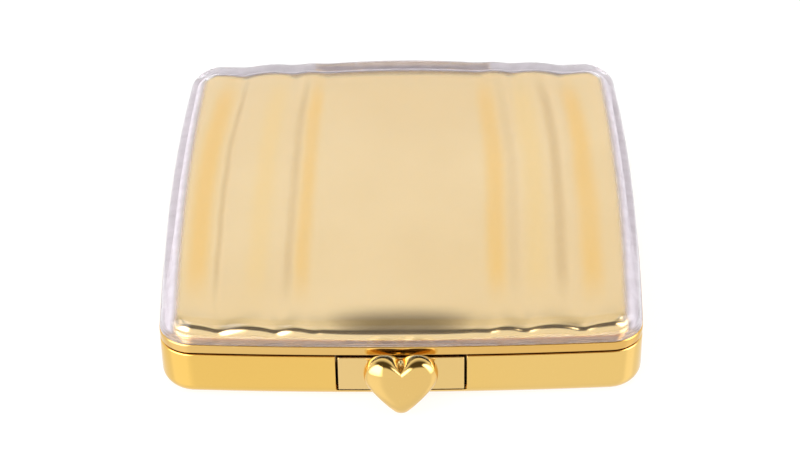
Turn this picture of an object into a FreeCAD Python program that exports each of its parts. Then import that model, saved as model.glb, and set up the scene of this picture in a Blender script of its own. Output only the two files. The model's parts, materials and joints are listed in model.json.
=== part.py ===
"""A square pill box, compact style: a gold base with a six-well tray, and a mirrored lid on a rear hinge.

The lid has a clear pleated cover over a gold plateau. A sprung push button in the front wall carries a
heart-shaped thumbpiece, and lets go of the lid's two hooks. Millimetres, +Z up, the front faces -Y, and
the origin is the centre of the base's flat underside.
"""

import FreeCAD
import Part
import math
import os

from FreeCAD import Vector

# ---------------------------------------------------------------- plan of the case
CASE_WIDTH = 75.0
CASE_DEPTH = 75.0
SIDE_BULGE = 1.2            # how far the middle of a side stands out beyond its ends
CORNER_RADIUS = 5.3

# ---------------------------------------------------------------- base
BASE_HEIGHT = 8.1
BASE_WALL = 1.4
BASE_FLOOR = 1.0
BASE_BOTTOM_RADIUS = 2.5
BASE_INNER_RADIUS = 1.2
EDGE_BREAK = 0.25           # chamfer on the two edges that meet at the seam
SEAM_GAP = 0.3

# ---------------------------------------------------------------- lid
RIM_HEIGHT = 1.6
PLATEAU_HEIGHT = 2.2        # above the rim
PLATEAU_INSET = 2.0
PLATEAU_RADIUS = 0.6
LID_SIDE_WALL = 1.2
LID_TOP_WALL = 1.4

# ---------------------------------------------------------------- clear cover
COVER_INSET = 0.1
COVER_HEIGHT = 4.2          # from the rim to the top of the crown
COVER_FIT = 0.15            # between the cover and the plateau
COVER_EDGE_RADIUS = 1.1

# ---------------------------------------------------------------- pleats of the plateau and the cover
CROWN_HALF_WIDTH = 13.5
CROWN_RISE = 0.4
PLEAT_WIDTHS = (5.3, 8.7, 11.0)     # on each side of the crown, from the inside outwards
PLEAT_RISE = 0.05           # of each millimetre of a pleat's width
PLEAT_STEP = 0.1            # each pleat starts this much lower than the one inside it

# ---------------------------------------------------------------- hinge
HINGE_STANDOFF = 1.1        # from the rear wall to the hinge axis
KNUCKLE_RADIUS = 1.5
KNUCKLE_CLEARANCE = 0.25
LID_KNUCKLE_LENGTH = 16.0
BASE_KNUCKLE_LENGTH = 7.0
PIN_DIAMETER = 1.4
PIN_FIT = 0.05              # radial, where the lid turns on the pin
PIN_INSET = 0.4             # from the end of the outer knuckle to the end of the pin
KNUCKLE_ROOT = 0.7          # how far a knuckle's arm reaches into its wall

# ---------------------------------------------------------------- inner frame
FRAME_FIT = 0.1
DECK_DROP = 0.2             # the deck lies this much below the base's edge
DECK_THICKNESS = 1.8
SNAP_LENGTH = 8.0
SNAP_SPACING = 30.0
SNAP_REACH = 0.4
SNAP_HEIGHT = 0.8
SNAP_DROP = 0.6             # from the deck's face to the top of a snap
SNAP_CLEARANCE = 0.1
POST_RADIUS = 1.7
POST_SPACING = 56.0
POST_INSET = 5.1            # from the base's front or rear face to a post's axis
SPRING_WALL = 1.0

# ---------------------------------------------------------------- pill tray
TRAY_SIDE_MARGIN = 5.5      # from the tray to the case's side
TRAY_REAR_MARGIN = 8.0      # from the tray to the case's rear
TRAY_FLANGE = 1.5
TRAY_FLANGE_THICKNESS = 0.8
TRAY_FLANGE_RADIUS = 3.0
TRAY_FIT = 0.2
TRAY_WALL = 1.0
TRAY_FLOOR = 0.8
TRAY_LIFT = 0.1             # between the tray's tub and the base's floor
WELL_COLUMNS = 3
WELL_ROWS = 2
WELL_RADIUS = 2.0

# ---------------------------------------------------------------- lid liner, mirror and catch
LINER_FIT = 0.1
LINER_WEB = 0.8
LINER_DROP = 0.2            # the liner's edge lies this much above the lid's edge
LINER_RIM = 4.2             # from the liner's outside to the mirror
MIRROR_RADIUS = 3.0
MIRROR_THICKNESS = 1.1
MIRROR_FIT = 0.2
TAPE_THICKNESS = 0.2
TAPE_MARGIN = 4.0
BUMPER_RADIUS = 1.2
BUMPER_CLEARANCE = 0.1
BUMPER_SPACING = 48.0

# ---------------------------------------------------------------- push button and latch
PLATE_WIDTH = 19.0
PLATE_THICKNESS = 1.2
PLATE_BOTTOM = 1.9
PLATE_TOP_DROP = 0.1
WINDOW_GAP = 0.35
BUTTON_TRAVEL = 1.2
TRAVEL_CLEARANCE = 0.3
ARM_WIDTH = 1.5
ARM_INSET = 1.0             # from the plate's end to the arm
CROSSBAR_THICKNESS = 1.5
CROSSBAR_TOP_GAP = 0.3
CROSSBAR_HEIGHT = 3.3
LIP_HEIGHT = 1.2
LIP_REACH = 0.6
LATCH_ENGAGEMENT = 0.4
LATCH_PLAY = 0.2            # between the hook and the lip above it
HOOK_HEIGHT = 0.8
HOOK_REACH = 0.8
TONGUE_THICKNESS = 0.9
TONGUE_WIDTH = 3.0
TONGUE_SPACING = 10.0
CATCH_DEPTH = 1.7
RAIL_GAP = 0.2

# ---------------------------------------------------------------- heart thumbpiece
HEART_LOBE_RADIUS = 2.9
HEART_LOBE_SPREAD = 2.7     # from the middle to a lobe's centre
HEART_LOBE_HEIGHT = 7.3
HEART_TIP_RADIUS = 1.4
HEART_TIP_HEIGHT = 1.7
HEART_EQUATOR = 1.2         # from the heart's flat back to its widest outline
HEART_STANDOFF = 1.4
NECK_RADIUS = 1.9
NECK_HEIGHT = 4.7
NECK_ROOT = 1.0             # how far the neck runs on into the heart
SCREW_RADIUS = 0.7
SCREW_HEAD_RADIUS = 1.5
SCREW_HEAD_HEIGHT = 0.9
SCREW_BITE = 2.6            # length in the heart and its neck
SCREW_SLOT = 0.4
SCREW_HOLE_FIT = 0.1

# ---------------------------------------------------------------- button springs
SPRING_SPACING = 10.0
SPRING_LENGTH = 3.6
SPRING_COIL_RADIUS = 1.05
SPRING_WIRE = 0.3
SPRING_TURNS = 4.5
WIRE_SIDES = 8              # the wire's section is drawn as an octagon
SPRING_END_GAP = 0.02
PEG_RADIUS = 0.6
PEG_LENGTH = 1.4

# ---------------------------------------------------------------- heights and places that follow
HALF_WIDTH = CASE_WIDTH / 2
HALF_DEPTH = CASE_DEPTH / 2
LID_BOTTOM = BASE_HEIGHT + SEAM_GAP
RIM_TOP = LID_BOTTOM + RIM_HEIGHT
PLATEAU_TOP = RIM_TOP + PLATEAU_HEIGHT
LID_CEILING = PLATEAU_TOP - LID_TOP_WALL
LID_CAVITY_INSET = PLATEAU_INSET + LID_SIDE_WALL
LINER_BOTTOM = LID_BOTTOM + LINER_DROP
LINER_INSET = LID_CAVITY_INSET + LINER_FIT
WEB_BOTTOM = LID_CEILING - LINER_WEB
MIRROR_TOP = WEB_BOTTOM - TAPE_THICKNESS
MIRROR_WIDTH = CASE_WIDTH - 2 * (LINER_INSET + LINER_RIM)
MIRROR_DEPTH = CASE_DEPTH - 2 * (LINER_INSET + LINER_RIM)
DECK_TOP = BASE_HEIGHT - DECK_DROP
DECK_BOTTOM = DECK_TOP - DECK_THICKNESS
HINGE_Y = HALF_DEPTH + HINGE_STANDOFF
HINGE_Z = BASE_HEIGHT + SEAM_GAP / 2
LID_KNUCKLE_END = LID_KNUCKLE_LENGTH / 2
BASE_KNUCKLE_START = LID_KNUCKLE_END + KNUCKLE_CLEARANCE
BASE_KNUCKLE_END = BASE_KNUCKLE_START + BASE_KNUCKLE_LENGTH
NOTCH_RADIUS = KNUCKLE_RADIUS + KNUCKLE_CLEARANCE

PLATE_HALF = PLATE_WIDTH / 2
PLATE_TOP = BASE_HEIGHT - PLATE_TOP_DROP
PLATE_BACK = -HALF_DEPTH + PLATE_THICKNESS
ARM_OUTER = PLATE_HALF - ARM_INSET
ARM_INNER = ARM_OUTER - ARM_WIDTH
TONGUE_FRONT = -HALF_DEPTH + LINER_INSET
HOOK_BACK = TONGUE_FRONT + TONGUE_THICKNESS + HOOK_REACH
LIP_FRONT = HOOK_BACK - LATCH_ENGAGEMENT
CROSSBAR_FRONT = LIP_FRONT + LIP_REACH
CROSSBAR_BACK = CROSSBAR_FRONT + CROSSBAR_THICKNESS
CROSSBAR_TOP = DECK_BOTTOM - CROSSBAR_TOP_GAP
CROSSBAR_BOTTOM = CROSSBAR_TOP - CROSSBAR_HEIGHT
LIP_BOTTOM = CROSSBAR_TOP - LIP_HEIGHT
HOOK_TOP = LIP_BOTTOM - LATCH_PLAY
HOOK_BOTTOM = HOOK_TOP - HOOK_HEIGHT
SPRING_WALL_FRONT = CROSSBAR_BACK + SPRING_LENGTH
SPRING_HEIGHT = (CROSSBAR_TOP + CROSSBAR_BOTTOM) / 2
TRAY_FRONT = SPRING_WALL_FRONT + SPRING_WALL - TRAY_FLANGE + TRAY_FIT
TRAY_WIDTH = CASE_WIDTH - 2 * TRAY_SIDE_MARGIN
TRAY_DEPTH = HALF_DEPTH - TRAY_REAR_MARGIN - TRAY_FRONT
TRAY_CENTRE = TRAY_FRONT + TRAY_DEPTH / 2
TRAY_SHELF = DECK_TOP - TRAY_FLANGE_THICKNESS
TUB_WIDTH = TRAY_WIDTH - 2 * TRAY_FLANGE
TUB_DEPTH = TRAY_DEPTH - 2 * TRAY_FLANGE
HEART_BACK = -HALF_DEPTH - HEART_STANDOFF
FAR = CASE_WIDTH + CASE_DEPTH   # longer than any cut needs to be


# ---------------------------------------------------------------- helpers
def block(x0, x1, y0, y1, z0, z1):
    """Box between three pairs of limits."""
    return Part.makeBox(x1 - x0, y1 - y0, z1 - z0, Vector(x0, y0, z0))


def rod(radius, start, axis, length):
    """Cylinder from a start point along an axis."""
    return Part.makeCylinder(radius, length, start, axis)


def edges_at(shape, height):
    """Edges that lie wholly at one height."""
    found = []
    for edge in shape.Edges:
        box = edge.BoundBox
        if abs(box.ZMin - height) < 1e-4 and abs(box.ZMax - height) < 1e-4:
            found.append(edge)
    return found


def mirrored(shape):
    """The same shape on the other side of the YZ plane."""
    return shape.mirror(Vector(0, 0, 0), Vector(1, 0, 0))


def side_radius(half_length):
    """Radius of a side that bows out by SIDE_BULGE over its half length."""
    return (half_length ** 2 + SIDE_BULGE ** 2) / (2 * SIDE_BULGE)


RIGHT_RADIUS = side_radius(HALF_DEPTH)
BACK_RADIUS = side_radius(HALF_WIDTH)
RIGHT_CENTRE = Vector(HALF_WIDTH - RIGHT_RADIUS, 0, 0)
BACK_CENTRE = Vector(0, HALF_DEPTH - BACK_RADIUS, 0)


def corner_centre():
    """Centre of the corner arc that runs smoothly into the right and back sides."""
    x = HALF_WIDTH - CORNER_RADIUS
    y = HALF_DEPTH - CORNER_RADIUS
    for _ in range(12):
        x = RIGHT_CENTRE.x + math.sqrt((RIGHT_RADIUS - CORNER_RADIUS) ** 2 - y ** 2)
        y = BACK_CENTRE.y + math.sqrt((BACK_RADIUS - CORNER_RADIUS) ** 2 - x ** 2)
    return Vector(x, y, 0)


CORNER_CENTRE = corner_centre()


def outline(inset):
    """Closed wire of the plan: four bowed sides and four corner arcs, moved in by inset."""
    toward_right = (CORNER_CENTRE - RIGHT_CENTRE).normalize()
    toward_back = (CORNER_CENTRE - BACK_CENTRE).normalize()
    right_end = RIGHT_CENTRE + toward_right * (RIGHT_RADIUS - inset)
    back_end = BACK_CENTRE + toward_back * (BACK_RADIUS - inset)
    knee = CORNER_CENTRE + (toward_right + toward_back).normalize() * (CORNER_RADIUS - inset)
    edges = []
    for sx, sy in ((1, 1), (-1, 1), (-1, -1), (1, -1)):
        corner = [Vector(p.x * sx, p.y * sy, 0) for p in (right_end, knee, back_end)]
        edges.append(Part.Arc(*corner).toShape())
    for side in (1, -1):
        x = side * (HALF_WIDTH - inset)
        y = side * (HALF_DEPTH - inset)
        low = Vector(side * right_end.x, -right_end.y, 0)
        high = Vector(side * right_end.x, right_end.y, 0)
        edges.append(Part.Arc(low, Vector(x, 0, 0), high).toShape())
        left = Vector(-back_end.x, side * back_end.y, 0)
        right = Vector(back_end.x, side * back_end.y, 0)
        edges.append(Part.Arc(left, Vector(0, y, 0), right).toShape())
    return Part.Wire(Part.__sortEdges__(edges))


def prism(inset, z0, z1):
    """The plan, moved in by inset, between two heights."""
    solid = Part.Face(outline(inset)).extrude(Vector(0, 0, z1 - z0))
    solid.translate(Vector(0, 0, z0))
    return solid


def rounded_block(width, depth, radius, centre_y, z0, z1):
    """Box centred on x = 0 with rounded upright edges."""
    solid = block(-width / 2, width / 2, centre_y - depth / 2, centre_y + depth / 2, z0, z1)
    upright = [e for e in solid.Edges if e.BoundBox.ZLength > (z1 - z0) / 2]
    return solid.makeFillet(radius, upright)


def barrel(radius, x0, x1):
    """Cylinder on the hinge axis."""
    return rod(radius, Vector(x0, HINGE_Y, HINGE_Z), Vector(1, 0, 0), x1 - x0)


# ---------------------------------------------------------------- base
def base_form():
    """The base's outside, before it is hollowed."""
    solid = prism(0, 0, BASE_HEIGHT)
    solid = solid.makeFillet(BASE_BOTTOM_RADIUS, edges_at(solid, 0))
    return solid.makeChamfer(EDGE_BREAK, edges_at(solid, BASE_HEIGHT))


def snap_band(reach, clearance):
    """Four short blocks on the left and right walls, where the frame snaps into the base."""
    top = DECK_TOP - SNAP_DROP
    band = prism(BASE_WALL - reach, top - SNAP_HEIGHT - clearance, top + clearance)
    strips = []
    for y in (-SNAP_SPACING / 2, SNAP_SPACING / 2):
        half = SNAP_LENGTH / 2 + clearance
        strips.append(band.common(block(-FAR, FAR, y - half, y + half, 0, LID_BOTTOM)))
    return strips[0].fuse(strips[1:])


def base_knuckle():
    """Outer hinge knuckle on the +X side, with the arm that joins it to the rear wall."""
    arm = block(BASE_KNUCKLE_START, BASE_KNUCKLE_END, HALF_DEPTH - KNUCKLE_ROOT, HINGE_Y,
                HINGE_Z - KNUCKLE_RADIUS, BASE_HEIGHT)
    return arm.fuse(barrel(KNUCKLE_RADIUS, BASE_KNUCKLE_START, BASE_KNUCKLE_END))


def button_rail():
    """Rib on the floor under the button's +X arm."""
    front = -HALF_DEPTH + PLATE_THICKNESS + BUTTON_TRAVEL + 2 * TRAVEL_CLEARANCE
    back = CROSSBAR_BACK + BUTTON_TRAVEL
    return block(ARM_INNER, ARM_OUTER, front, back, BASE_FLOOR / 2, CROSSBAR_BOTTOM - RAIL_GAP)


def base_shell():
    cavity = prism(BASE_WALL, BASE_FLOOR, LID_BOTTOM)
    cavity = cavity.makeFillet(BASE_INNER_RADIUS, edges_at(cavity, BASE_FLOOR))
    window_half = PLATE_HALF + WINDOW_GAP
    window_depth = PLATE_THICKNESS + BUTTON_TRAVEL + TRAVEL_CLEARANCE
    window = block(-window_half, window_half, -FAR, -HALF_DEPTH + window_depth,
                   PLATE_BOTTOM - WINDOW_GAP, LID_BOTTOM)
    shell = base_form().cut([cavity, window, snap_band(SNAP_REACH + SNAP_CLEARANCE, SNAP_CLEARANCE)])
    knuckle = base_knuckle()
    rail = button_rail()
    shell = shell.fuse([knuckle, mirrored(knuckle), rail, mirrored(rail)])
    notch = barrel(NOTCH_RADIUS, -BASE_KNUCKLE_START, BASE_KNUCKLE_START)
    bore = barrel(PIN_DIAMETER / 2, -FAR, FAR)
    return shell.cut([notch, bore]).removeSplitter()


def hinge_pin():
    end = BASE_KNUCKLE_END - PIN_INSET
    return barrel(PIN_DIAMETER / 2, -end, end)


# ---------------------------------------------------------------- inner frame and tray
def post_places():
    """Axes of the four posts that stand on the base's floor."""
    y = HALF_DEPTH - POST_INSET
    return [Vector(sx * POST_SPACING / 2, sy * y, BASE_FLOOR) for sx in (-1, 1) for sy in (-1, 1)]


def inner_frame():
    deck = prism(BASE_WALL + FRAME_FIT, DECK_BOTTOM, DECK_TOP)
    up = Vector(0, 0, 1)
    posts = [rod(POST_RADIUS, place, up, DECK_TOP - BASE_FLOOR - DECK_THICKNESS / 2) for place in post_places()]
    wall = block(-ARM_OUTER, ARM_OUTER, SPRING_WALL_FRONT, SPRING_WALL_FRONT + SPRING_WALL,
                 BASE_FLOOR, DECK_TOP - DECK_THICKNESS / 2)
    solid = deck.fuse(posts + [wall, snap_band(SNAP_REACH, 0)])
    opening = rounded_block(TUB_WIDTH + 2 * TRAY_FIT, TUB_DEPTH + 2 * TRAY_FIT, WELL_RADIUS + TRAY_WALL,
                            TRAY_CENTRE, DECK_BOTTOM - DECK_THICKNESS, LID_BOTTOM)
    rebate = rounded_block(TRAY_WIDTH + 2 * TRAY_FIT, TRAY_DEPTH + 2 * TRAY_FIT, TRAY_FLANGE_RADIUS,
                           TRAY_CENTRE, TRAY_SHELF, LID_BOTTOM)
    bay_half = PLATE_HALF + TRAVEL_CLEARANCE
    bay = block(-bay_half, bay_half, -FAR, HOOK_BACK + TRAVEL_CLEARANCE, DECK_BOTTOM - 1, LID_BOTTOM)
    return solid.cut([opening, rebate, bay]).removeSplitter()


def pill_tray():
    flange = rounded_block(TRAY_WIDTH, TRAY_DEPTH, TRAY_FLANGE_RADIUS, TRAY_CENTRE, TRAY_SHELF, DECK_TOP)
    bottom = BASE_FLOOR + TRAY_LIFT
    tub = rounded_block(TUB_WIDTH, TUB_DEPTH, WELL_RADIUS + TRAY_WALL, TRAY_CENTRE, bottom, DECK_TOP)
    tray = tub.fuse(flange)
    width = (TUB_WIDTH - (WELL_COLUMNS + 1) * TRAY_WALL) / WELL_COLUMNS
    depth = (TUB_DEPTH - (WELL_ROWS + 1) * TRAY_WALL) / WELL_ROWS
    floor = bottom + TRAY_FLOOR
    for column in range(WELL_COLUMNS):
        for row in range(WELL_ROWS):
            x = (column - (WELL_COLUMNS - 1) / 2) * (width + TRAY_WALL)
            y = TRAY_CENTRE + (row - (WELL_ROWS - 1) / 2) * (depth + TRAY_WALL)
            well = rounded_block(width, depth, WELL_RADIUS, y, floor, LID_BOTTOM)
            well = well.makeFillet(WELL_RADIUS * 0.9, edges_at(well, floor))
            well.translate(Vector(x, 0, 0))
            tray = tray.cut(well)
    return tray.removeSplitter()


def lid_bumpers():
    """Four soft pads on the deck that meet the liner."""
    height = LINER_BOTTOM - BUMPER_CLEARANCE - DECK_TOP
    pads = []
    for place in post_places():
        x = math.copysign(BUMPER_SPACING / 2, place.x)
        pads.append(rod(BUMPER_RADIUS, Vector(x, place.y, DECK_TOP), Vector(0, 0, 1), height))
    return Part.makeCompound(pads)


# ---------------------------------------------------------------- lid
def lid_knuckle():
    """Middle hinge knuckle, with the arm that joins it to the lid's rim."""
    arm = block(-LID_KNUCKLE_END, LID_KNUCKLE_END, HALF_DEPTH - KNUCKLE_ROOT, HINGE_Y,
                LID_BOTTOM, HINGE_Z + KNUCKLE_RADIUS)
    return arm.fuse(barrel(KNUCKLE_RADIUS, -LID_KNUCKLE_END, LID_KNUCKLE_END))


def pleated_section(crown_top):
    """Section across X under a pleated top: a wide crown between scalloped pleats that step down."""
    foot = crown_top - CROWN_RISE
    x = CROWN_HALF_WIDTH
    points = [Vector(x, 0, foot)]
    arcs = []
    for width in PLEAT_WIDTHS:
        foot = foot - PLEAT_STEP
        middle = Vector(x + width / 2, 0, foot + PLEAT_STEP / 2 + PLEAT_RISE * width)
        x = x + width
        points.append(Vector(x, 0, foot))
        arcs.append(Part.Arc(points[-2], middle, points[-1]).toShape())
    arcs += [mirrored(arc) for arc in arcs]
    arcs.append(Part.Arc(Vector(-CROWN_HALF_WIDTH, 0, points[0].z), Vector(0, 0, crown_top), points[0]).toShape())
    corners = [points[-1], Vector(x, 0, 0), Vector(-x, 0, 0), Vector(-x, 0, foot)]
    lines = [Part.makeLine(a, b) for a, b in zip(corners, corners[1:])]
    return Part.Wire(Part.__sortEdges__(arcs + lines))


def pleated_form(inset, bottom, crown_top, edge_radius):
    """The plan, moved in by inset, under a pleated top with rounded edges."""
    body = prism(inset, bottom, crown_top)
    body = body.makeFillet(edge_radius, edges_at(body, crown_top))
    pleats = Part.Face(pleated_section(crown_top)).extrude(Vector(0, FAR, 0))
    pleats.translate(Vector(0, -FAR / 2, 0))
    return body.common(pleats)


def lid_shell():
    rim = prism(0, LID_BOTTOM, RIM_TOP)
    rim = rim.makeChamfer(EDGE_BREAK, edges_at(rim, LID_BOTTOM))
    plateau = pleated_form(PLATEAU_INSET, LID_BOTTOM, PLATEAU_TOP, PLATEAU_RADIUS)
    cavity = prism(LID_CAVITY_INSET, BASE_HEIGHT, LID_CEILING)
    end = BASE_KNUCKLE_END + KNUCKLE_CLEARANCE
    notches = [barrel(NOTCH_RADIUS, -end, -LID_KNUCKLE_END), barrel(NOTCH_RADIUS, LID_KNUCKLE_END, end)]
    shell = rim.fuse(plateau).cut([cavity] + notches).fuse(lid_knuckle())
    return shell.cut(barrel(PIN_DIAMETER / 2 + PIN_FIT, -FAR, FAR)).removeSplitter()


def clear_cover():
    body = pleated_form(COVER_INSET, RIM_TOP, RIM_TOP + COVER_HEIGHT, COVER_EDGE_RADIUS)
    hollow = pleated_form(PLATEAU_INSET - COVER_FIT, RIM_TOP - COVER_FIT, PLATEAU_TOP + COVER_FIT,
                          PLATEAU_RADIUS + COVER_FIT)
    return body.cut(hollow).removeSplitter()


def lid_liner():
    solid = prism(LINER_INSET, LINER_BOTTOM, LID_CEILING)
    opening = rounded_block(MIRROR_WIDTH + 2 * MIRROR_FIT, MIRROR_DEPTH + 2 * MIRROR_FIT,
                            MIRROR_RADIUS + MIRROR_FIT, 0, BASE_HEIGHT, WEB_BOTTOM)
    half = (TONGUE_SPACING + TONGUE_WIDTH) / 2 + LINER_FIT
    pocket = block(-half, half, -FAR, TONGUE_FRONT + CATCH_DEPTH + LINER_FIT, BASE_HEIGHT, WEB_BOTTOM)
    return solid.cut([opening, pocket]).removeSplitter()


def latch_catch():
    """Bar in the liner's front edge, with two tongues that hook under the button's lip."""
    half = (TONGUE_SPACING + TONGUE_WIDTH) / 2
    solid = block(-half, half, TONGUE_FRONT, TONGUE_FRONT + CATCH_DEPTH, LINER_BOTTOM, WEB_BOTTOM)
    for side in (-1, 1):
        x = side * TONGUE_SPACING / 2
        left = x - TONGUE_WIDTH / 2
        right = x + TONGUE_WIDTH / 2
        tongue = block(left, right, TONGUE_FRONT, TONGUE_FRONT + TONGUE_THICKNESS, HOOK_BOTTOM, WEB_BOTTOM)
        nose = block(left, right, TONGUE_FRONT, HOOK_BACK, HOOK_BOTTOM, HOOK_TOP)
        lead = [e for e in edges_at(nose, HOOK_BOTTOM) if abs(e.BoundBox.YMin - HOOK_BACK) < 1e-4]
        nose = nose.makeChamfer(HOOK_HEIGHT * 0.6, lead)
        solid = solid.fuse([tongue, nose])
    # the outline bows, so the bar is trimmed to the cavity that it sits in
    return solid.common(prism(LINER_INSET, 0, LID_CEILING)).removeSplitter()


def mirror():
    return rounded_block(MIRROR_WIDTH, MIRROR_DEPTH, MIRROR_RADIUS, 0, MIRROR_TOP - MIRROR_THICKNESS, MIRROR_TOP)


def mirror_tape():
    width = MIRROR_WIDTH - 2 * TAPE_MARGIN
    depth = MIRROR_DEPTH - 2 * TAPE_MARGIN
    return rounded_block(width, depth, MIRROR_RADIUS, 0, MIRROR_TOP, WEB_BOTTOM)


# ---------------------------------------------------------------- push button
def push_button():
    plate = base_form().common(block(-PLATE_HALF, PLATE_HALF, -FAR, 0, PLATE_BOTTOM, PLATE_TOP))
    plate = plate.cut(prism(PLATE_THICKNESS, 0, LID_BOTTOM))
    arm = block(ARM_INNER, ARM_OUTER, PLATE_BACK - PLATE_THICKNESS / 2, CROSSBAR_BACK, CROSSBAR_BOTTOM, CROSSBAR_TOP)
    bar = block(-ARM_OUTER, ARM_OUTER, CROSSBAR_FRONT, CROSSBAR_BACK, CROSSBAR_BOTTOM, CROSSBAR_TOP)
    lip = block(-ARM_OUTER, ARM_OUTER, LIP_FRONT, CROSSBAR_BACK, LIP_BOTTOM, CROSSBAR_TOP)
    pegs = []
    for side in (-1, 1):
        start = Vector(side * SPRING_SPACING / 2, CROSSBAR_BACK - CROSSBAR_THICKNESS / 2, SPRING_HEIGHT)
        pegs.append(rod(PEG_RADIUS, start, Vector(0, 1, 0), PEG_LENGTH + CROSSBAR_THICKNESS / 2))
    solid = plate.fuse([arm, mirrored(arm), bar, lip] + pegs)
    hole = rod(SCREW_RADIUS + SCREW_HOLE_FIT, Vector(0, -FAR, NECK_HEIGHT), Vector(0, 1, 0), FAR + PLATE_BACK + 1)
    return solid.cut(hole).removeSplitter()


def heart_half():
    """Right-hand half of the heart: a plump teardrop, round about the line from its lobe to the tip."""
    lobe = Vector(HEART_LOBE_SPREAD, 0, HEART_LOBE_HEIGHT)
    tip = Vector(0, 0, HEART_TIP_HEIGHT)
    run = (tip - lobe).normalize()
    across = Vector(-run.z, 0, run.x)
    lean = (HEART_LOBE_RADIUS - HEART_TIP_RADIUS) / lobe.distanceToPoint(tip)
    flank = run * lean + across * math.sqrt(1 - lean ** 2)
    lobe_end = lobe - run * HEART_LOBE_RADIUS
    tip_end = tip + run * HEART_TIP_RADIUS
    lobe_side = lobe + flank * HEART_LOBE_RADIUS
    tip_side = tip + flank * HEART_TIP_RADIUS
    lobe_middle = lobe + (flank - run).normalize() * HEART_LOBE_RADIUS
    tip_middle = tip + (flank + run).normalize() * HEART_TIP_RADIUS
    section = [
        Part.Arc(lobe_end, lobe_middle, lobe_side).toShape(),
        Part.makeLine(lobe_side, tip_side),
        Part.Arc(tip_side, tip_middle, tip_end).toShape(),
        Part.makeLine(tip_end, lobe_end),
    ]
    return Part.Face(Part.Wire(section)).revolve(lobe, run, 360)


def heart_thumbpiece():
    half = heart_half()
    solid = half.fuse(mirrored(half))
    solid.translate(Vector(0, HEART_BACK - HEART_EQUATOR, 0))
    solid = solid.cut(block(-FAR, FAR, HEART_BACK, FAR, -FAR, FAR))
    neck = rod(NECK_RADIUS, Vector(0, -HALF_DEPTH, NECK_HEIGHT), Vector(0, -1, 0), HEART_STANDOFF + NECK_ROOT)
    bore = rod(SCREW_RADIUS, Vector(0, -HALF_DEPTH, NECK_HEIGHT), Vector(0, -1, 0), SCREW_BITE)
    return solid.fuse(neck).cut(bore).removeSplitter()


def heart_screw():
    shank = rod(SCREW_RADIUS, Vector(0, PLATE_BACK, NECK_HEIGHT), Vector(0, -1, 0), PLATE_THICKNESS + SCREW_BITE)
    head = rod(SCREW_HEAD_RADIUS, Vector(0, PLATE_BACK, NECK_HEIGHT), Vector(0, 1, 0), SCREW_HEAD_HEIGHT)
    slot_top = PLATE_BACK + SCREW_HEAD_HEIGHT
    slot = block(-SCREW_HEAD_RADIUS, SCREW_HEAD_RADIUS, slot_top - SCREW_SLOT, slot_top + 1,
                 NECK_HEIGHT - SCREW_SLOT / 2, NECK_HEIGHT + SCREW_SLOT / 2)
    return head.fuse(shank).cut(slot).removeSplitter()


def button_spring(side):
    """Coil spring between the button's crossbar and the frame's wall."""
    length = SPRING_LENGTH - SPRING_WIRE - 2 * SPRING_END_GAP
    helix = Part.makeHelix(length / SPRING_TURNS, length, SPRING_COIL_RADIUS)
    corners = []
    for number in range(WIRE_SIDES + 1):
        angle = 2 * math.pi * number / WIRE_SIDES
        out = SPRING_COIL_RADIUS + SPRING_WIRE / 2 * math.cos(angle)
        corners.append(Vector(out, 0, SPRING_WIRE / 2 * math.sin(angle)))
    coil = Part.Wire(helix).makePipeShell([Part.makePolygon(corners)], True, True)
    coil.rotate(Vector(0, 0, 0), Vector(1, 0, 0), -90)
    front = CROSSBAR_BACK + SPRING_WIRE / 2 + SPRING_END_GAP
    coil.translate(Vector(side * SPRING_SPACING / 2, front, SPRING_HEIGHT))
    return coil


# ---------------------------------------------------------------- the pieces, one file each
NODES = {
    "base_shell": base_shell(),
    "inner_frame": inner_frame(),
    "pill_tray": pill_tray(),
    "lid_bumpers": lid_bumpers(),
    "hinge_pin": hinge_pin(),
    "push_button": push_button(),
    "heart_thumbpiece": heart_thumbpiece(),
    "heart_screw": heart_screw(),
    "button_spring_left": button_spring(-1),
    "button_spring_right": button_spring(1),
    "lid_shell": lid_shell(),
    "clear_cover": clear_cover(),
    "lid_liner": lid_liner(),
    "latch_catch": latch_catch(),
    "mirror": mirror(),
    "mirror_tape": mirror_tape(),
}

os.makedirs("parts", exist_ok=True)
for name, shape in NODES.items():
    shape.exportStep("parts/" + name + ".step")
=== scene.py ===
"""Looks of a square gold pill box with a clear pleated cover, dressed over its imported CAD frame.

The script is laid out as an add-on: settings, one operator for each piece or group, a sidebar panel, and
main(), which runs the operators in order. Metres, +Z up; the front, with the heart, faces -Y.
"""

import bmesh
import bpy
import json
import math

from bpy.props import FloatProperty, FloatVectorProperty, PointerProperty
from mathutils import Matrix, Vector


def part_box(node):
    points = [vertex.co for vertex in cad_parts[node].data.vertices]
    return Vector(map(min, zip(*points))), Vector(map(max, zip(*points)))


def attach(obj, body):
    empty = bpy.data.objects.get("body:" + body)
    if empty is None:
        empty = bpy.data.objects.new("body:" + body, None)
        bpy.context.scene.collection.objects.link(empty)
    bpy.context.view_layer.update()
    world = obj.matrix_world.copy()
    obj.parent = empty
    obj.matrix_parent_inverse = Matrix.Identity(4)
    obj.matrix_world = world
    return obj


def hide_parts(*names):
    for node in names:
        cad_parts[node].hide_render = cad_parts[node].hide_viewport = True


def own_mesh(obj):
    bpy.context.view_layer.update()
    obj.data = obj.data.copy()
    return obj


bl_info = {
    "name": "Pill Box Looks",
    "version": (1, 0, 0),
    "blender": (4, 5, 0),
    "location": "View3D > Sidebar > Pill Box",
    "description": "Builds the plated shells, clear pleated cover, heart and fittings of a pill box",
    "category": "Object",
}

MM = 0.001

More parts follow.
